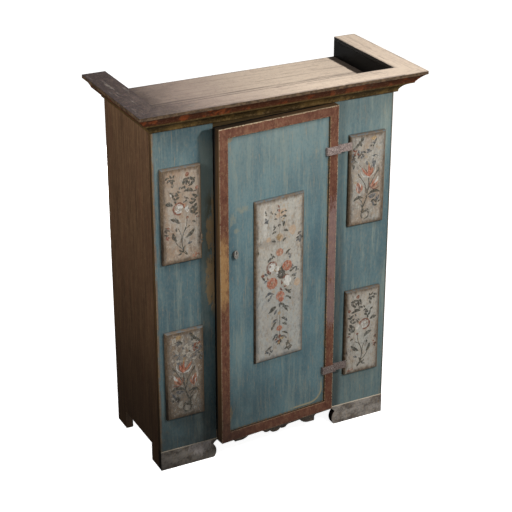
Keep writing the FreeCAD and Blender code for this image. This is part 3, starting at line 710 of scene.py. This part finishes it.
def finish_for(name, seed):
    box = closed_box(name)
    on_door = name in door_nodes
    if name.startswith(("stile_", "door_board")):
        return blue_paint(name, box, on_door)
    if name.startswith("border_"):
        return border_paint(name, box, seed)
    if name.startswith("panel_") or name == "door_panel":
        return panel_paint(name, box, on_door, seed)
    if name.startswith("side_"):
        return side_wood(name, seed)
    if name.startswith(("top_board", "crown_cap")):
        along = "y" if name in ("crown_cap_left", "crown_cap_right") else "x"
        return top_wood(name, along, box, seed)
    if name.startswith("crown_moulding"):
        return cornice_paint(name, box, seed)
    if name == "plinth_board":
        return plinth_paint(name, box, seed)
    if name.startswith(("hinge_", "latch_", "strap_nails")):
        return iron(name, on_door, seed)
    return raw_wood(name, on_door, box, seed)


def paint_nodes():
    for seed, name in enumerate(sorted(nodes), 1):
        material = finish_for(name, float(seed))
        mesh = nodes[name].data
        mesh.materials.clear()
        mesh.materials.append(material)


def placed(name, data):
    """A new object in the scene."""
    made = bpy.data.objects.new(name, data)
    bpy.context.scene.collection.objects.link(made)
    return made


# ---- painted sprays ----
def polar(u, v, reach, turn, stretch=1.0):
    """The point at some reach from (u, v), turned from straight up towards +u."""
    return (u + reach * math.sin(turn), v - reach * stretch * math.cos(turn))


class Brush:
    """Strokes of paint on one panel. Points are (u, v), counted in UNIT from the panel's
    upper left corner, or from the upper right one where the spray is mirrored. Angles are
    in degrees from straight up, turning towards +u."""

    UNIT = 0.588 * MM
    PROUD = 0.1 * MM
    COAT = 0.003 * MM

    def __init__(self, panel, mirrored, seed):
        self.panel = panel
        self.box = closed_box(panel)
        self.on_door = panel in door_nodes
        self.mirrored = mirrored
        self.random = random.Random(seed)
        self.lift = self.PROUD
        self.points, self.faces, self.coats = [], [], []
        self.pigments = []

    def place(self, u, v):
        (x0, y0, _), (x1, _, z1) = self.box
        x = x1 - u * self.UNIT if self.mirrored else x0 + u * self.UNIT
        spot = Vector((x, y0 - self.lift, z1 - v * self.UNIT))
        return SWING @ spot if self.on_door else spot

    def shape(self, pigment, outline):
        """A stroke with this outline, a hair above the strokes before it."""
        if pigment not in self.pigments:
            self.pigments.append(pigment)
        first = len(self.points)
        self.points += [self.place(u, v) for u, v in outline]
        ring = list(range(first, len(self.points)))
        self.faces.append(ring if self.mirrored else ring[::-1])
        self.coats.append(self.pigments.index(pigment))
        self.lift += self.COAT

    def leaf(self, pigment, u, v, length, angle, width=0.45, bend=0.1, foot=False):
        """A pointed stroke round (u, v), or from it where foot is set."""
        turn = math.radians(angle)
        along = (math.sin(turn), -math.cos(turn))
        across = (along[1], -along[0])
        start, sink = (0.0, 0) if foot else (-0.5, 0.6)
        sides = ([], [])
        for i in range(9):
            t = i / 8
            half = length * width / 2 * math.sin(math.pi * t) ** 0.75
            half *= self.random.uniform(0.85, 1.15)
            reach = length * (t + start)
            for side, sign in zip(sides, (1, -1)):
                off = bend * length * (math.sin(math.pi * t) - sink) + sign * half
                du = along[0] * reach + across[0] * off
                dv = along[1] * reach + across[1] * off
                side.append((u + du, v + dv))
        self.shape(pigment, sides[0] + sides[1][-2:0:-1])

    def leaves(self, pigment, rows, width=0.45, scale=1.0):
        """Leaves as (u, v, length, angle), with a width and a bend of their own where given."""
        for u, v, length, angle, *shape in rows:
            self.leaf(pigment, u, v, length * scale, angle, *(shape or (width,)))

    def petals(self, u, v, rows):
        """Petals that spring from one point, as (pigment, length, angle, width, bend)."""
        for pigment, length, angle, width, bend in rows:
            self.leaf(pigment, u, v, length, angle, width, bend, True)

    def stem(self, pigment, path, width):
        """A thin stroke through the points of a path, smoothed by cutting its corners."""
        for _ in range(2):
            fine = [path[0]]
            for (u0, v0), (u1, v1) in zip(path, path[1:]):
                fine.append((0.75 * u0 + 0.25 * u1, 0.75 * v0 + 0.25 * v1))
                fine.append((0.25 * u0 + 0.75 * u1, 0.25 * v0 + 0.75 * v1))
            path = fine + [path[-1]]
        for (u0, v0), (u1, v1) in zip(path, path[1:]):
            span = math.hypot(u1 - u0, v1 - v0) or 1.0
            nu, nv = (v1 - v0) / span * width / 2, (u0 - u1) / span * width / 2
            start = [(u0 - nu, v0 - nv), (u0 + nu, v0 + nv)]
            self.shape(pigment, start + [(u1 + nu, v1 + nv), (u1 - nu, v1 - nv)])

    def dab(self, pigment, u, v, radius, stretch=1.0):
        """A round touch of the brush."""
        outline = []
        for i in range(14):
            turn = 2 * math.pi * i / 14
            reach = radius * self.random.uniform(0.84, 1.14)
            outline.append(polar(u, v, reach, turn, stretch))
        self.shape(pigment, outline)

    def dabs(self, pigment, rows, stretch=1.0):
        for u, v, radius in rows:
            self.dab(pigment, u, v, radius, stretch)

    def arc(self, pigment, u, v, radius, start, sweep, width):
        """A curved stroke round (u, v), thin at both ends."""
        outer, inner = [], []
        for i in range(13):
            turn = math.radians(start + sweep * i / 12)
            half = width / 2 * math.sin(math.pi * i / 12) ** 0.6 * self.random.uniform(0.8, 1.2)
            for side, reach in ((outer, radius + half), (inner, radius - half)):
                side.append(polar(u, v, reach, turn))
        self.shape(pigment, outer + inner[-2:0:-1])

    def rose(self, u, v, radius, ring="rust", heart="white", start=150, sweep=290):
        """A full flower: a broken dark ring with paler petals inside it."""
        self.dab("pale" if heart == "white" else heart, u, v, 0.6 * radius)
        petals = (
            (20, 0.3, 0.34), (55, 0.42, 0.3), (-10, 0.5, 0.24),
            (190, 0.45, 0.34), (150, 0.5, 0.22), (235, 0.4, 0.24),
        )
        for turn, reach, size in petals:
            turn = math.radians(turn + self.random.uniform(-8, 8))
            self.dab(heart, *polar(u, v, reach * radius, turn), size * radius)
        for i in range(6):
            angle = start + sweep * i / 6 + self.random.uniform(-6, 6)
            self.arc(ring, u, v, radius * 0.86, angle, sweep / 6 + 14, radius * 0.3)
        for i in range(4):
            self.arc(ring, u, v, radius * (0.2 + 0.12 * i), 100 * i + 30, 70, radius * 0.07)

    def pompon(self, u, v, radius, pigment="coral", eye="rust"):
        """A round flower of overlapping short petals with a dark eye."""
        for reach, count in ((0.66, 11), (0.34, 7)):
            for i in range(count):
                turn = 2 * math.pi * (i + self.random.uniform(-0.15, 0.15)) / count
                shade = "salmon" if (i + count) % 3 == 0 else pigment
                self.dab(shade, *polar(u, v, reach * radius, turn), radius * 0.34)
        self.arc(eye, u, v, radius * 0.5, self.random.uniform(0, 360), 200, radius * 0.08)
        self.dab("ochre", u, v, radius * 0.2)
        self.dab(eye, u, v, radius * 0.12)

    def bud(self, pigment, u, v, size):
        self.dab(pigment, u, v, size, 1.2)
        self.leaf("salmon", u, v, size * 1.2, 10, 0.3)

    def scatter(self, pigments, u, v, width, height, count, size):
        """Loose leaves over an oval, in pigments drawn by lot."""
        for _ in range(count):
            turn, reach = self.random.uniform(0, 2 * math.pi), self.random.random() ** 0.5
            u1 = u + width / 2 * reach * math.cos(turn)
            v1 = v + height / 2 * reach * math.sin(turn)
            pigment = self.random.choice(pigments)
            length = size * self.random.uniform(0.7, 1.3)
            self.leaf(pigment, u1, v1, length, self.random.uniform(0, 360))

    def finish(self, seed):
        mesh = bpy.data.meshes.new("spray_" + self.panel)
        mesh.from_pydata([tuple(point) for point in self.points], [], self.faces)
        for pigment in self.pigments:
            paint = panel_paint(self.panel, self.box, self.on_door, seed, pigment)
            mesh.materials.append(paint)
        for face, coat in zip(mesh.polygons, self.coats):
            face.material_index = coat
        piece = placed("spray_" + self.panel, mesh)
        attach(piece, "door" if self.on_door else "carcass")


def rose_spray(brush):
    brush.scatter(("dusk", "stem"), 230, 250, 110, 200, 9, 26)
    brush.stem("leaf", [(168, 668), (156, 600), (166, 530), (192, 486), (226, 470)], 7)
    brush.stem("leaf", [(176, 510), (196, 470), (204, 420), (196, 396)], 6)
    brush.stem("stem", [(150, 600), (156, 540), (130, 480)], 6)
    brush.stem("leaf", [(166, 655), (116, 612), (94, 548)], 6)
    knot = (
        (150, 668, 50, -60), (186, 690, 50, 135), (140, 690, 40, -110), (172, 650, 56, 20),
        (170, 674, 40, 90),
    )
    brush.leaves("leaf", knot, 0.34)
    crown = (
        (48, 70, 30, 70), (78, 60, 28, -40), (100, 62, 22, 20), (62, 92, 32, 60),
        (96, 92, 30, 110), (86, 108, 28, 150), (92, 132, 30, 20), (78, 190, 26, -60),
        (90, 216, 30, 170), (126, 206, 32, -30), (140, 190, 24, -60), (102, 238, 30, -50),
        (130, 236, 28, 60), (112, 262, 30, 0), (118, 214, 26, 100), (180, 120, 34, 20),
        (206, 112, 30, -30), (188, 96, 26, 70), (234, 95, 36, 100), (256, 102, 32, 70),
        (252, 132, 36, 50), (234, 148, 26, 80), (224, 126, 24, 10), (200, 130, 26, 160),
        (148, 160, 22, 30), (174, 160, 28, 70), (190, 160, 26, -10), (206, 98, 28, 40),
        (262, 120, 26, 10), (196, 268, 22, 40), (266, 235, 36, -60), (282, 246, 34, 60),
        (250, 262, 30, -70), (240, 290, 32, -75), (266, 280, 28, 40), (272, 318, 36, 20),
        (280, 345, 34, 30), (256, 330, 30, -40), (262, 360, 38, 0), (244, 365, 36, -40),
        (280, 385, 26, 60), (240, 336, 26, 30), (258, 444, 26, 120), (290, 412, 26, 100),
        (60, 276, 50, 105),
    )
    brush.leaves("leaf", crown, 0.52, 1.28)
    blades = (
        (108, 414, 92, 122, 0.34), (222, 188, 84, 100, 0.36, 0.2), (228, 534, 104, 50, 0.28, -0.08),
        (96, 546, 84, -22, 0.36),
    )
    brush.leaves("leaf", blades)
    brush.leaf("dusk", 220, 612, 46, 70, 0.4)
    brush.leaf("leaf", 114, 488, 30, 0, 0.5)
    brush.rose(138, 322, 52)
    brush.leaf("salmon", 186, 302, 30, 20, 0.5)
    brush.leaf("white", 194, 330, 34, 0, 0.5)
    brush.bud("white", 206, 345, 12)
    brush.leaf("white", 208, 322, 38, 10, 0.4)
    brush.bud("rust", 208, 60, 15)
    brush.bud("rust", 286, 176, 13)
    brush.bud("rust", 206, 402, 10)
    brush.leaf("white", 76, 206, 26, -30, 0.5)
    brush.leaf("rust", 288, 410, 26, 80, 0.4)
    brush.scatter(("rust", "salmon"), 268, 720, 60, 30, 8, 22)
    brush.scatter(("rust", "stem"), 38, 500, 26, 110, 9, 30)
    brush.scatter(("leaf", "stem"), 310, 585, 16, 100, 6, 34)


def tulip_spray(brush):
    brush.leaf("ochre", 105, 49, 60, 80, 0.6)
    faded = (
        (71, 67, 50, 30, 0.7), (239, 108, 46, 100, 0.6), (152, 180, 60, 10, 0.5),
        (52, 590, 60, 0, 0.4), (240, 600, 80, 20, 0.35),
    )
    brush.leaves("pale", faded)
    shadows = (
        (92, 196, 60, 80, 0.3), (105, 250, 84, 8, 0.4), (60, 560, 76, 150, 0.3),
        (110, 530, 76, -80, 0.45), (100, 600, 60, 20, 0.3),
    )
    brush.leaves("dusk", shadows)
    brush.leaf("pale", 116, 646, 70, 10, 0.6)
    stalk = [(147, 372), (146, 430), (156, 500), (164, 545), (192, 600), (202, 655)]
    brush.stem("leaf", stalk, 9)
    brush.stem("stem", [(243, 326), (199, 390), (172, 436), (160, 520)], 7)
    brush.stem("stem", [(56, 300), (97, 372), (130, 425), (158, 500)], 7)
    brush.stem("leaf", [(192, 612), (176, 580), (158, 530)], 8)
    brush.stem("leaf", [(204, 640), (196, 590), (206, 560), (230, 536)], 7)
    brush.stem("stem", [(216, 274), (252, 236), (264, 216)], 4)
    foliage = (
        (96, 500, 124, -84, 0.24, -0.2), (236, 534, 104, 98, 0.24, 0.22), (62, 322, 54, -30, 0.24),
        (236, 340, 44, 25, 0.3), (196, 640, 44, -50, 0.3), (206, 600, 50, 30, 0.3),
        (190, 660, 64, 100, 0.2), (150, 640, 30, 60, 0.4), (170, 470, 60, 12, 0.2),
    )
    brush.leaves("leaf", foliage)
    brush.dab("pale", 172, 684, 22, 1.1)
    for start in (170, -110, -40, 60):
        brush.arc("leaf", 172, 680, 34, start, 84, 12)
    tulip = (
        ("pale", 96, 22, 0.4, -0.04), ("white", 96, 56, 0.14, -0.2),
        ("white", 112, -24, 0.08, 0.26), ("salmon", 80, 0, 0.44, 0), ("ochre", 166, 6, 0.09, 0.02),
        ("coral", 104, 5, 0.17, 0), ("coral", 118, 40, 0.15, -0.05), ("coral", 84, -20, 0.26, 0.06),
        ("rust", 104, -8, 0.11, 0), ("rust", 92, 30, 0.1, 0), ("coral", 50, 8, 0.6, 0),
        ("rust", 70, -30, 0.12, 0.1),
    )
    brush.petals(140, 364, tulip)
    brush.leaf("salmon", 92, 430, 96, -30, 0.5)
    brush.leaf("rust", 104, 446, 60, -40, 0.3)
    brush.leaf("coral", 112, 420, 64, -20, 0.2)
    brush.leaf("white", 74, 402, 70, -32, 0.3)
    for start in (60, 140):
        brush.arc("rust", 88, 424, 50, start, 90, 9)
    brush.leaf("salmon", 232, 444, 104, 10, 0.56)
    brush.leaf("rust", 228, 452, 84, 4, 0.3)
    brush.leaves("coral", ((214, 440, 70, 20), (250, 440, 60, 0), (238, 416, 50, 24)), 0.18)
    brush.leaves("white", ((222, 424, 60, 22), (244, 452, 56, 8), (262, 420, 44, 20)), 0.14)
    corners = (
        (214, 44, 50, 150), (232, 62, 42, 120), (250, 84, 46, 105), (266, 100, 34, 60),
        (226, 84, 36, 20), (284, 112, 34, 110), (98, 92, 42, 60), (116, 88, 38, 110),
        (130, 100, 36, 150), (106, 108, 32, 100), (204, 178, 36, 30), (288, 258, 44, 10),
        (192, 150, 30, 60), (280, 220, 34, 140),
    )
    brush.leaves("leaf", corners, 0.52)
    brush.leaf("rust", 281, 130, 42, 60, 0.4)
    brush.scatter(("pale", "dusk"), 100, 90, 100, 70, 7, 34)
    # Pale stands twice, so that it is drawn twice as often.
    brush.scatter(("pale", "dusk", "pale"), 170, 200, 200, 160, 16, 40)
    brush.scatter(("stem", "dusk", "rust"), 262, 160, 80, 70, 10, 32)
    brush.scatter(("stem", "dusk"), 296, 220, 40, 120, 8, 30)
    brush.scatter(("stem", "leaf"), 80, 590, 90, 50, 5, 36)


def bouquet(brush):
    faded = (
        (250, 128, 30), (206, 148, 20), (338, 292, 34), (384, 748, 28), (120, 330, 20),
        (222, 330, 30),
    )
    brush.dabs("peach", faded, 1.2)
    foliage = (
        (96, 104, 36, -20, 0.5), (98, 124, 26, 100, 0.4), (148, 114, 36, -30), (182, 132, 26, -50),
        (244, 128, 34, 70), (272, 122, 30, 110), (184, 172, 30, 100), (262, 162, 44, 105),
        (174, 236, 38, -30), (258, 226, 44, 15), (170, 256, 28, 60), (170, 282, 42, 70),
        (276, 284, 46, 110), (168, 354, 42, 110), (264, 356, 42, 50), (158, 472, 64, -45, 0.3),
        (296, 466, 62, 50, 0.3), (140, 496, 46, 70), (122, 508, 32, 20), (318, 510, 44, 10),
        (308, 490, 34, -40), (100, 620, 44, -50), (92, 680, 40, 60), (356, 622, 44, 60),
        (352, 684, 44, 115), (128, 800, 92, 80, 0.26, 0.3), (146, 820, 40, 30), (128, 840, 44, 40),
        (300, 796, 70, 110, 0.3, -0.2), (312, 818, 44, 130), (296, 852, 40, 110),
        (320, 872, 40, 140), (160, 934, 76, 55, 0.5), (140, 952, 40, 80), (186, 965, 46, 30),
        (250, 912, 74, 130, 0.3), (278, 936, 70, 100, 0.26), (286, 962, 60, 140, 0.3),
        (226, 910, 40, 10), (178, 1040, 56, 60, 0.4), (176, 1068, 50, 40), (160, 1096, 50, 40),
        (262, 1034, 44, 120), (280, 1050, 50, 130), (274, 1086, 54, 120), (190, 1170, 44, 60),
        (172, 1196, 40, 40), (276, 1164, 70, 118, 0.24), (272, 1200, 60, 130, 0.3),
        (246, 1196, 40, 150), (225, 1230, 50, 0), (205, 1225, 40, 60),
    )
    for row in foliage:
        # Those at a height that divides by five are duskier.
        brush.leaf("leaf" if row[1] % 5 else "dusk", *row)
    brush.stem("stem", [(215, 110), (222, 200), (215, 300), (224, 430)], 2)
    brush.stem("leaf", [(230, 880), (226, 1000), (222, 1110), (232, 1240)], 4)
    thicket = (("leaf", "stem"), 236, 634, 70, 90, 9, 44)
    loose = (
        thicket, thicket, thicket, (("dusk", "leaf"), 128, 1290, 64, 70, 13, 30),
        (("leaf", "stem"), 308, 1288, 60, 80, 14, 30), (("dusk",), 98, 180, 22, 80, 5, 34),
        (("leaf", "dusk"), 396, 362, 50, 70, 9, 40),
        (("rust", "ochre", "leaf"), 222, 1210, 70, 90, 12, 34),
        (("stem", "rust"), 100, 636, 70, 130, 9, 34),
        (("stem", "ochre"), 210, 170, 140, 160, 10, 18),
        (("dusk", "leaf"), 354, 640, 60, 150, 9, 32),
    )
    for row in loose:
        brush.scatter(*row)
    brush.leaf("leaf", 26, 426, 40, 10, 0.5)
    brush.pompon(222, 456, 33, "salmon", "salmon")
    brush.rose(200, 588, 30, "ochre", "white", 100, 200)
    brush.rose(150, 568, 50, "rust", "white", 190, 240)
    heart = ((148, 562, 17), (136, 582, 13), (166, 578, 12), (204, 598, 13), (198, 624, 12))
    brush.dabs("white", heart)
    brush.dab("rust", 134, 560, 9)
    brush.pompon(290, 584, 46)
    brush.rose(290, 714, 56, "rust", "pale", 170, 190)
    brush.dabs("white", ((292, 690, 24), (310, 712, 22), (278, 722, 21), (298, 746, 17)))
    brush.dabs("pale", ((252, 700, 13), (256, 742, 15), (286, 772, 12), (330, 748, 12)))
    brush.pompon(154, 706, 50)
    brush.pompon(228, 828, 40)
    brush.dab("coral", 236, 862, 24, 0.9)
    brush.leaf("rust", 238, 776, 40, -40, 0.3)
    brush.pompon(222, 1112, 26, "coral", "coral")
    brush.dab("ochre", 222, 980, 14)
    brush.rose(215, 326, 24, "ochre", "ochre")
    brush.leaf("rust", 210, 72, 34, -30, 0.4)
    brush.leaf("coral", 214, 106, 26, 20, 0.6)
    brush.leaf("rust", 222, 1186, 40, 0, 0.4)


# Each painted panel, whether its spray is mirrored, what is on it and its random seed.
SPRAYS = (
    ("panel_upper_left", False, rose_spray, 40),
    ("panel_lower_right", True, rose_spray, 41),
    ("panel_lower_left", False, tulip_spray, 42),
    ("panel_upper_right", True, tulip_spray, 43),
    ("door_panel", False, bouquet, 44),
)


def paint_sprays():
    """Sprays whose worn places show the same ground as the panel under them."""
    order = sorted(nodes)
    for panel, mirrored, draw, seed in SPRAYS:
        brush = Brush(panel, mirrored, seed)
        draw(brush)
        brush.finish(float(order.index(panel) + 1))


# ---- light, floor and camera ----
def area_light(name, place, target, side, watts):
    light = bpy.data.lights.new(name, "AREA")
    light.shape = "SQUARE"
    light.size = side
    light.energy = watts
    lamp = placed(name, light)
    lamp.location = place
    lamp.rotation_euler = (Vector(target) - Vector(place)).to_track_quat("-Z", "Y").to_euler()


def set_world():
    """Dim surroundings that brighten smoothly towards one large soft source, and look like
    the floor's pale paper where they are seen past it."""
    world = bpy.data.worlds.new("studio")
    bpy.context.scene.world = world
    world.use_nodes = True
    shaders, link = world.node_tree.nodes, world.node_tree.links.new
    coords = shaders.new("ShaderNodeTexCoord")
    toward = shaders.new("ShaderNodeVectorMath")
    toward.operation = "DOT_PRODUCT"
    toward.inputs[1].default_value = Vector(SKY_SOURCE).normalized()
    link(coords.outputs["Generated"], toward.inputs[0])
    level = shaders.new("ShaderNodeMapRange")
    level.interpolation_type = "SMOOTHSTEP"
    fill(level, {"From Min": SKY_EDGE, "To Min": SKY_DIM, "To Max": SKY_BRIGHT})
    link(toward.outputs["Value"], level.inputs["Value"])
    back = shaders["Background"]
    fill(back, {"Color": SKY_COLOUR})
    link(level.outputs[0], back.inputs["Strength"])
    paper = shaders.new("ShaderNodeBackground")
    fill(paper, {"Color": WHITE, "Strength": 1.0})
    path = shaders.new("ShaderNodeLightPath")
    shown = shaders.new("ShaderNodeMixShader")
    link(path.outputs["Is Camera Ray"], shown.inputs[0])
    link(back.outputs[0], shown.inputs[1])
    link(paper.outputs[0], shown.inputs[2])
    link(shown.outputs[0], shaders["World Output"].inputs["Surface"])


def lay_floor():
    """Pale paper that glows a little, and whose glow doesn't reach the cupboard."""
    mesh = bpy.data.meshes.new("floor")
    corners = [(x * FLOOR_HALF, y * FLOOR_HALF, 0) for x, y in ((-1, -1), (1, -1), (1, 1), (-1, 1))]
    mesh.from_pydata(corners, [], [(0, 1, 2, 3)])
    floor = placed("floor", mesh)
    f = Finish("floor_paper")
    material = f.done(f.mix(f.noise(3, detail=2), *FLOOR_TONES), 0.9)
    fill(f.shader, {"Emission Color": WHITE, "Emission Strength": FLOOR_GLOW})
    mesh.materials.append(material)
    floor.visible_diffuse = False
    floor.visible_glossy = False


def set_camera():
    data = bpy.data.cameras.new("camera")
    data.lens = CAMERA_LENS
    data.sensor_width = SENSOR
    camera = placed("camera", data)
    camera.location = CAMERA_PLACE
    camera.rotation_euler = (math.pi / 2 - CAMERA_PITCH, 0, -CAMERA_YAW)
    bpy.context.scene.camera = camera


paint_nodes()
paint_sprays()
set_world()
for light in LIGHTS:
    area_light(*light)
lay_floor()
set_camera()
bpy.context.scene.view_settings.view_transform = "Standard"
